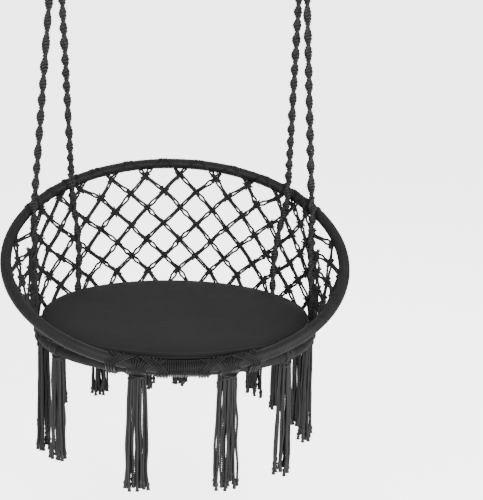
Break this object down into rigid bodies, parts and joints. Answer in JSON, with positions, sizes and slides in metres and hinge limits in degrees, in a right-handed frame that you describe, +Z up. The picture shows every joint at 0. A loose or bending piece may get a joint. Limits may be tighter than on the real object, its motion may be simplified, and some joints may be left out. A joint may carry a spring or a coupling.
{
  "type": "hanging hammock chair",
  "caption": "Knotted cord hanging chair: a tilted back hoop and a level seat ring joined by nets, round cushion, tassel fringe, and four ropes on steel hanging hooks.",
  "frame": {"origin": "midway between the two hanging points, level with the inner tops of the S-hooks' upper bows", "axes": "+X to the sitter's left as seen from the front, which is the viewer's right; +Y to the back of the chair; +Z up"},
  "size_m": [0.8, 0.7387, 1.4666],
  "materials": {
    "cord": "matte",
    "winding": "matte",
    "cushion_fabric": "matte",
    "foam": "matte",
    "tube_steel": "satin",
    "zinc_steel": "satin"
  },
  "bodies": {
    "hangers": {"s_hook_left": "zinc_steel", "s_hook_right": "zinc_steel"},
    "snap_hooks": {"snap_hook_left": "zinc_steel", "gate_pin_left": "zinc_steel", "snap_hook_right": "zinc_steel", "gate_pin_right": "zinc_steel"},
    "gate_left": {"gate_left": "zinc_steel", "gate_spring_left": "zinc_steel"},
    "gate_right": {"gate_right": "zinc_steel", "gate_spring_right": "zinc_steel"},
    "chair": {"hoop_tube": "tube_steel", "hoop_wrap": "winding", "seat_ring_tube": "tube_steel", "seat_ring_wrap": "winding", "front_lashings": "cord", "rope_upper_front_left": "cord", "rope_upper_rear_left": "cord", "rope_upper_rear_right": "cord", "rope_upper_front_right": "cord", "rope_lower_front_left": "cord", "rope_lower_rear_left": "cord", "rope_lower_rear_right": "cord", "rope_lower_front_right": "cord", "hoop_hitches": "cord", "seat_ring_hitches": "cord", "net_back": "cord", "net_side_left": "cord", "net_side_right": "cord", "net_wing_left": "cord", "net_wing_right": "cord", "seat_net": "cord", "tassel_hitches": "cord", "rope_eye_left": "cord", "rope_eye_right": "cord", "steel_ring_left": "zinc_steel", "steel_ring_right": "zinc_steel"},
    "cushion": {"cushion_cover": "cushion_fabric", "cushion_foam": "foam"},
    "tassel_01": {"tassel_01": "cord"},
    "tassel_02": {"tassel_02": "cord"},
    "tassel_03": {"tassel_03": "cord"},
    "tassel_04": {"tassel_04": "cord"},
    "tassel_05": {"tassel_05": "cord"},
    "tassel_06": {"tassel_06": "cord"},
    "tassel_07": {"tassel_07": "cord"},
    "tassel_08": {"tassel_08": "cord"},
    "tassel_09": {"tassel_09": "cord"},
    "tassel_10": {"tassel_10": "cord"},
    "tassel_11": {"tassel_11": "cord"},
    "tassel_12": {"tassel_12": "cord"},
    "tassel_13": {"tassel_13": "cord"},
    "tassel_14": {"tassel_14": "cord"},
    "tassel_15": {"tassel_15": "cord"}
  },
  "joints": [
    {"name": "chair_hooks_swing", "type": "hinge", "parent": "hangers", "child": "snap_hooks", "pos_m": [0, 0, -0.06825], "axis": [1, 0, 0], "range_deg": [-20, 20]},
    {"name": "chair_swing", "type": "hinge", "parent": "snap_hooks", "child": "chair", "pos_m": [0, 0, -0.1399], "axis": [1, 0, 0], "range_deg": [-30, 30]},
    {"name": "cushion_lift", "type": "slide", "parent": "chair", "child": "cushion", "axis": [0, 0, 1], "range_m": [0, 0.25]},
    {"name": "gate_left_open", "type": "hinge", "parent": "snap_hooks", "child": "gate_left", "pos_m": [-0.267, -0.01233, -0.12457], "axis": [-1, 0, 0], "range_deg": [0, 25], "stiffness_Nm_per_rad": 0.15, "springref_deg": -17.19},
    {"name": "gate_right_open", "type": "hinge", "parent": "snap_hooks", "child": "gate_right", "pos_m": [0.267, -0.01233, -0.12457], "axis": [-1, 0, 0], "range_deg": [0, 25], "stiffness_Nm_per_rad": 0.15, "springref_deg": -17.19},
    {"name": "tassel_01_swing", "type": "hinge", "parent": "chair", "child": "tassel_01", "pos_m": [-0.09031, -0.3254, -1.18], "axis": [-0.9563, 0.2924, 0], "range_deg": [-25, 25]},
    {"name": "tassel_02_swing", "type": "hinge", "parent": "chair", "child": "tassel_02", "pos_m": [-0.26196, -0.19369, -1.18], "axis": [-0.5299, 0.848, 0], "range_deg": [-25, 25]},
    {"name": "tassel_03_swing", "type": "hinge", "parent": "chair", "child": "tassel_03", "pos_m": [-0.30098, -0.09949, -1.18], "axis": [-0.225, 0.9744, 0], "range_deg": [-25, 25]},
    {"name": "tassel_04_swing", "type": "hinge", "parent": "chair", "child": "tassel_04", "pos_m": [-0.30589, 0.01299, -1.18], "axis": [0.1392, 0.9903, 0], "range_deg": [-25, 25]},
    {"name": "tassel_05_swing", "type": "hinge", "parent": "chair", "child": "tassel_05", "pos_m": [-0.27274, 0.11502, -1.18], "axis": [0.4695, 0.8829, 0], "range_deg": [-25, 25]},
    {"name": "tassel_06_swing", "type": "hinge", "parent": "chair", "child": "tassel_06", "pos_m": [-0.17718, 0.22304, -1.18], "axis": [0.8192, 0.5736, 0], "range_deg": [-25, 25]},
    {"name": "tassel_07_swing", "type": "hinge", "parent": "chair", "child": "tassel_07", "pos_m": [-0.06422, 0.27215, -1.18], "axis": [0.9781, 0.2079, 0], "range_deg": [-25, 25]},
    {"name": "tassel_08_swing", "type": "hinge", "parent": "chair", "child": "tassel_08", "pos_m": [0.03229, 0.27721, -1.18], "axis": [0.9945, -0.1045, 0], "range_deg": [-25, 25]},
    {"name": "tassel_09_swing", "type": "hinge", "parent": "chair", "child": "tassel_09", "pos_m": [0.14024, 0.24523, -1.18], "axis": [0.891, -0.454, 0], "range_deg": [-25, 25]},
    {"name": "tassel_10_swing", "type": "hinge", "parent": "chair", "child": "tassel_10", "pos_m": [0.21067, 0.19592, -1.18], "axis": [0.7314, -0.682, 0], "range_deg": [-25, 25]},
    {"name": "tassel_11_swing", "type": "hinge", "parent": "chair", "child": "tassel_11", "pos_m": [0.26196, 0.13369, -1.18], "axis": [0.5299, -0.848, 0], "range_deg": [-25, 25]},
    {"name": "tassel_12_swing", "type": "hinge", "parent": "chair", "child": "tassel_12", "pos_m": [0.30098, 0.03949, -1.18], "axis": [0.225, -0.9744, 0], "range_deg": [-25, 25]},
    {"name": "tassel_13_swing", "type": "hinge", "parent": "chair", "child": "tassel_13", "pos_m": [0.30589, -0.07299, -1.18], "axis": [-0.1392, -0.9903, 0], "range_deg": [-25, 25]},
    {"name": "tassel_14_swing", "type": "hinge", "parent": "chair", "child": "tassel_14", "pos_m": [0.23313, -0.23266, -1.18], "axis": [-0.6561, -0.7547, 0], "range_deg": [-25, 25]},
    {"name": "tassel_15_swing", "type": "hinge", "parent": "chair", "child": "tassel_15", "pos_m": [0.10057, -0.32207, -1.18], "axis": [-0.9455, -0.3256, 0], "range_deg": [-25, 25]}
  ]
}
